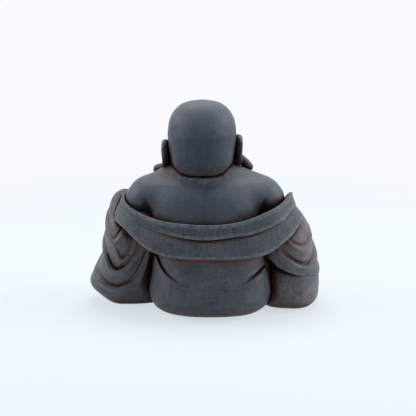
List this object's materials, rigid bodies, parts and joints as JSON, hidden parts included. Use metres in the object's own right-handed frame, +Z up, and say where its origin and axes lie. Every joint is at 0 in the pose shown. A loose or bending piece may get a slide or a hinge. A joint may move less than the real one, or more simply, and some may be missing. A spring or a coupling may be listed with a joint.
{
  "type": "seated buddha statue",
  "caption": "Small seated laughing-buddha figure in cast stone with a slipped robe, hanging sleeves and a flat base, for a shelf or garden table.",
  "frame": {"origin": "middle of the footprint, on the table that the felt pads stand on", "axes": "+Z up, +Y to the figure's back (the side pictured), +X to the figure's left"},
  "size_m": [0.1504, 0.107, 0.1341],
  "materials": {
    "painted_stone": "matt slate-grey paint rubbed back over a rust-brown undercoat, with the pinholes of a casting",
    "felt": "dark pressed felt"
  },
  "bodies": {
    "root": {"hips": "painted_stone", "torso": "painted_stone", "head": "painted_stone", "left_ear": "painted_stone", "right_ear": "painted_stone", "shawl_collar": "painted_stone", "shawl_band": "painted_stone", "left_sleeve": "painted_stone", "right_sleeve": "painted_stone", "left_leg": "painted_stone", "right_leg": "painted_stone", "left_foot": "painted_stone", "right_foot": "painted_stone", "left_hand": "painted_stone", "right_hand": "painted_stone", "waist_sash": "painted_stone", "felt_pad_rear": "felt", "felt_pad_front": "felt", "felt_pad_left": "felt", "felt_pad_right": "felt"}
  },
  "joints": []
}
